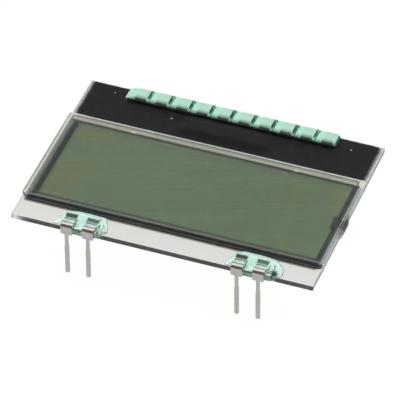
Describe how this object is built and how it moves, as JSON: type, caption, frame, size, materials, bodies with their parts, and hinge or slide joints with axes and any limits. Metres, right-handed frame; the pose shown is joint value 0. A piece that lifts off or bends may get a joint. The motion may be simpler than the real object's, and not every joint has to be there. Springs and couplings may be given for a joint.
{
  "type": "character lcd module",
  "caption": "Small glass liquid crystal display with a black coated chip ledge, a clear contact ledge and two rows of clip-on pins set in clear green adhesive.",
  "frame": {"origin": "on the plane of the pin tips, at the centre of the rear glass seen from above", "axes": "+X along the pin rows with the fill port plug at +X, -Y towards the clear ledge with four pins, +Z the way the display faces"},
  "size_m": [0.0364, 0.0256, 0.0074],
  "materials": {
    "glass": "clear polished float glass with scribed edges",
    "seal": "cured epoxy seal, beige",
    "conductive_dots": "silver paste, matte",
    "liquid_crystal": "clear fluid film, no image driven",
    "plug_resin": "cured end seal resin, dark and slightly clear",
    "front_polarizer": "smooth polarizing film, grey green",
    "rear_polarizer": "polarizing film with a matt reflector on its back",
    "silicon": "bare silicon die, polished",
    "bond_film": "bonding film with conductive particles",
    "black_coating": "black light shielding coat, satin",
    "adhesive": "green clear light-cured adhesive, glossy",
    "tinned_strip": "tinned phosphor bronze strip, satin"
  },
  "bodies": {
    "root": {"rear_glass": "glass", "front_glass": "glass", "perimeter_seal": "seal", "transfer_dots": "conductive_dots", "liquid_crystal": "liquid_crystal", "fill_port_plug": "plug_resin", "front_polarizer": "front_polarizer", "rear_polarizer": "rear_polarizer", "driver_chip": "silicon", "chip_bond_film": "bond_film", "chip_coating": "black_coating", "rear_adhesive": "adhesive", "front_left_adhesive": "adhesive", "front_right_adhesive": "adhesive", "front_pin_1": "tinned_strip", "front_pin_2": "tinned_strip", "front_pin_3": "tinned_strip", "front_pin_4": "tinned_strip", "rear_pin_1": "tinned_strip", "rear_pin_2": "tinned_strip", "rear_pin_3": "tinned_strip", "rear_pin_4": "tinned_strip", "rear_pin_5": "tinned_strip", "rear_pin_6": "tinned_strip", "rear_pin_7": "tinned_strip", "rear_pin_8": "tinned_strip", "rear_pin_9": "tinned_strip", "rear_pin_10": "tinned_strip"}
  },
  "joints": []
}
